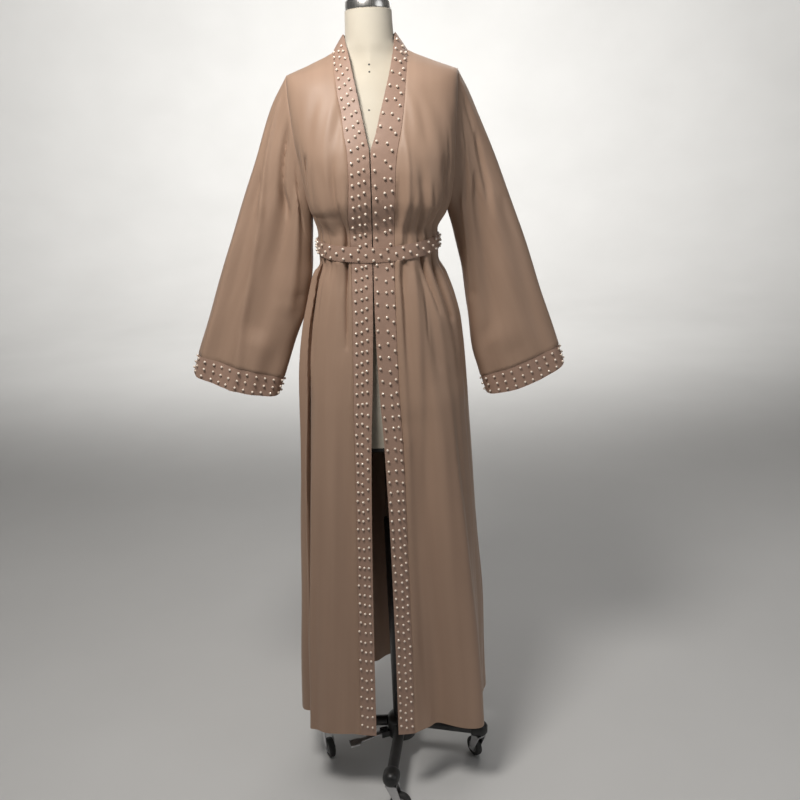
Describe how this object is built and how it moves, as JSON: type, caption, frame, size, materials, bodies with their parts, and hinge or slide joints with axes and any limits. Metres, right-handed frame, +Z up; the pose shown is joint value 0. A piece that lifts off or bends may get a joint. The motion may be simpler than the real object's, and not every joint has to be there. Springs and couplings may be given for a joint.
{
  "type": "abaya cloak on a dress form",
  "caption": "Open-front abaya cloak with pearl-studded bands, wide cuffed sleeves and a belt, on a limbless dress form whose pole and castor base carry it.",
  "frame": {"origin": "on the floor, under the axis of the stand's column", "axes": "+Z up; the front faces -Y; the wearer's right side is at -X"},
  "size_m": [0.8165, 0.4202, 1.7383],
  "materials": {
    "rose_satin": "satin",
    "rose_trim": "satin",
    "cream_linen": "matt",
    "black_board": "matt",
    "chrome": "polished",
    "painted_iron": "semi-gloss",
    "black_plastic": "satin",
    "zinc_steel": "satin",
    "castor_tyre": "matt"
  },
  "bodies": {
    "base": {"hub": "painted_iron", "column": "painted_iron", "leg_front": "painted_iron", "leg_left": "painted_iron", "leg_back": "painted_iron", "leg_right": "painted_iron", "end_cap_front": "black_plastic", "end_cap_left": "black_plastic", "end_cap_back": "black_plastic", "end_cap_right": "black_plastic", "pedal_bracket": "black_plastic"},
    "figure": {"form_torso": "cream_linen", "form_plate": "black_board", "neck_cap": "chrome", "pole": "chrome", "front_left": "rose_satin", "front_right": "rose_satin", "back_panel": "rose_satin", "band_left": "rose_trim", "band_right": "rose_trim", "sleeve_left": "rose_satin", "sleeve_right": "rose_satin", "cuff_left": "rose_trim", "cuff_right": "rose_trim", "belt": "rose_trim"},
    "fork_front": {"castor_fork_front": "zinc_steel"},
    "fork_left": {"castor_fork_left": "zinc_steel"},
    "fork_back": {"castor_fork_back": "zinc_steel"},
    "fork_right": {"castor_fork_right": "zinc_steel"},
    "wheel_front": {"wheel_front": "castor_tyre"},
    "wheel_left": {"wheel_left": "castor_tyre"},
    "wheel_back": {"wheel_back": "castor_tyre"},
    "wheel_right": {"wheel_right": "castor_tyre"},
    "pedal": {"pedal": "zinc_steel"}
  },
  "joints": [
    {"name": "height_slide", "type": "slide", "parent": "base", "child": "figure", "axis": [0, 0, 1], "range_m": [0, 0.15]},
    {"name": "swivel_front", "type": "hinge", "parent": "base", "child": "fork_front", "pos_m": [-0.02644, -0.18815, 0.0687], "axis": [0, 0, 1], "continuous": true},
    {"name": "swivel_left", "type": "hinge", "parent": "base", "child": "fork_left", "pos_m": [0.18815, -0.02644, 0.0687], "axis": [0, 0, 1], "continuous": true},
    {"name": "swivel_back", "type": "hinge", "parent": "base", "child": "fork_back", "pos_m": [0.02644, 0.18815, 0.0687], "axis": [0, 0, 1], "continuous": true},
    {"name": "swivel_right", "type": "hinge", "parent": "base", "child": "fork_right", "pos_m": [-0.18815, 0.02644, 0.0687], "axis": [0, 0, 1], "continuous": true},
    {"name": "spin_front", "type": "hinge", "parent": "fork_front", "child": "wheel_front", "pos_m": [-0.00712, -0.19333, 0.024], "axis": [-0.2588, -0.9659, 0], "continuous": true},
    {"name": "spin_left", "type": "hinge", "parent": "fork_left", "child": "wheel_left", "pos_m": [0.17815, -0.00912, 0.024], "axis": [0.866, 0.5, 0], "continuous": true},
    {"name": "spin_back", "type": "hinge", "parent": "fork_back", "child": "wheel_back", "pos_m": [0.04524, 0.19499, 0.024], "axis": [0.342, -0.9397, 0], "continuous": true},
    {"name": "spin_right", "type": "hinge", "parent": "fork_right", "child": "wheel_right", "pos_m": [-0.18066, 0.0079, 0.024], "axis": [-0.9272, -0.3746, 0], "continuous": true},
    {"name": "pedal_press", "type": "hinge", "parent": "base", "child": "pedal", "pos_m": [-0.04495, -0.01374, 0.076], "axis": [0.2924, -0.9563, 0], "range_deg": [0, 10], "stiffness_Nm_per_rad": 2, "springref_deg": -2.86}
  ]
}
